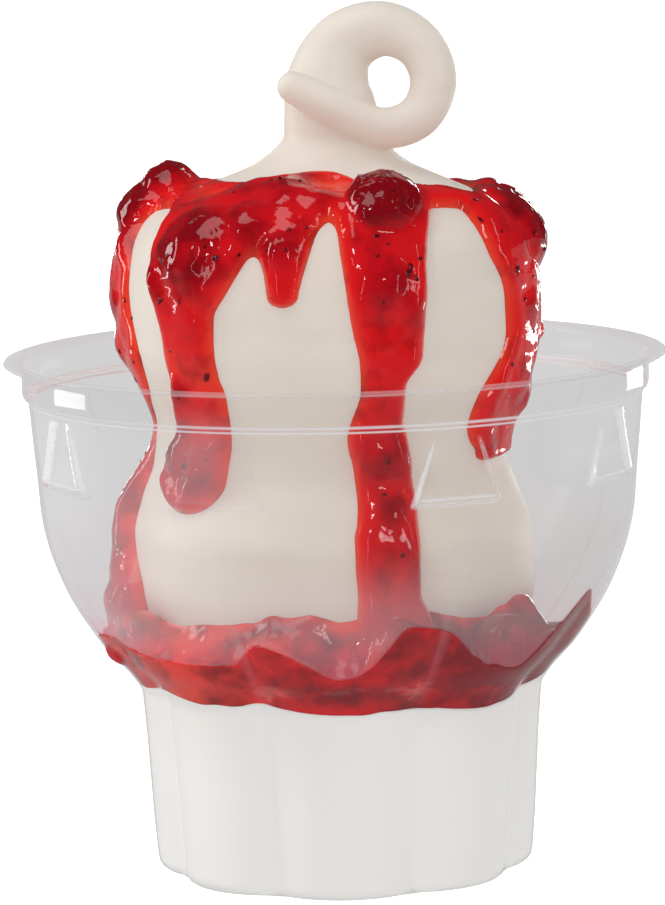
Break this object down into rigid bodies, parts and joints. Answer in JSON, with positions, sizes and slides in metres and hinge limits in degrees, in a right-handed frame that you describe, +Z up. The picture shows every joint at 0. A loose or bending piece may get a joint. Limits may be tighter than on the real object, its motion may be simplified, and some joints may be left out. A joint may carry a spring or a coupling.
{
  "type": "ice cream sundae",
  "caption": "Soft-serve vanilla ice cream sundae with strawberry sauce and fruit pieces, in a clear fluted plastic cup that stands on its foot.",
  "frame": {"origin": "centre of the cup foot, on the surface that the sundae stands on", "axes": "+Z up along the cup axis, -Y towards the front, where the curl shows its loop and its tip points to the left"},
  "size_m": [0.1, 0.1, 0.1309],
  "materials": {
    "clear_plastic": "clear glossy thermoformed sheet",
    "vanilla_ice_cream": "smooth satin soft serve, opaque",
    "strawberry_sauce": "wet glossy syrup",
    "strawberry_fruit": "wet crinkled fruit"
  },
  "bodies": {
    "root": {"cup": "clear_plastic", "ice_cream": "vanilla_ice_cream", "fruit_top_1": "strawberry_fruit", "fruit_top_2": "strawberry_fruit", "fruit_top_3": "strawberry_fruit", "fruit_top_4": "strawberry_fruit", "fruit_top_5": "strawberry_fruit", "fruit_top_6": "strawberry_fruit", "fruit_top_7": "strawberry_fruit", "fruit_pool_1": "strawberry_fruit", "fruit_pool_2": "strawberry_fruit", "fruit_pool_3": "strawberry_fruit", "fruit_pool_4": "strawberry_fruit", "fruit_pool_5": "strawberry_fruit", "sauce_topping": "strawberry_sauce", "sauce_pool": "strawberry_sauce"}
  },
  "joints": []
}
